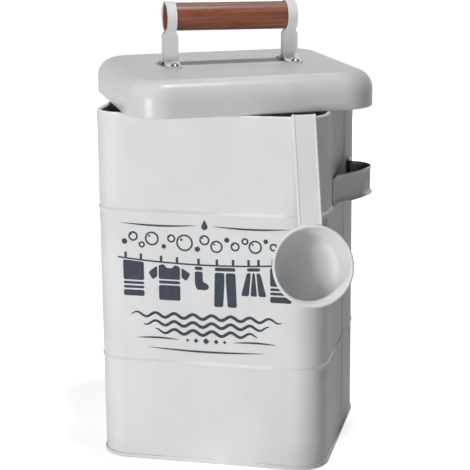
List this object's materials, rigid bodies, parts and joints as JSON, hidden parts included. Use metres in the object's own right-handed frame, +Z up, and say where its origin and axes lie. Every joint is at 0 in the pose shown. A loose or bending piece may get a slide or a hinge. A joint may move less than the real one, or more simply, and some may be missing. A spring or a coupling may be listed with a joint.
{
  "type": "metal laundry powder container",
  "caption": "Tall square-sided painted tin with soft corners, a lift-off lid with a wooden grip, a side loop and a hanging scoop, for laundry powder.",
  "frame": {"origin": "centre of the tin's underside, on the plane it stands on", "axes": "+Z up, -Y out of the printed front wall, +X out of the wall that carries the loop"},
  "size_m": [0.2178, 0.2288, 0.3328],
  "materials": {
    "tin_paint": "light grey satin powder coat on sheet steel",
    "wood": "reddish brown stained hardwood, satin oil finish",
    "rivet_steel": "bright plated steel"
  },
  "bodies": {
    "root": {"body_shell": "tin_paint", "base_plate": "tin_paint", "side_loop": "tin_paint", "lid_shell": "tin_paint", "bracket_left": "tin_paint", "bracket_right": "tin_paint", "grip": "wood", "lid_rivet_left_front": "rivet_steel", "lid_rivet_left_back": "rivet_steel", "lid_rivet_right_front": "rivet_steel", "lid_rivet_right_back": "rivet_steel", "scoop_cup": "tin_paint", "scoop_handle": "tin_paint"}
  },
  "joints": []
}
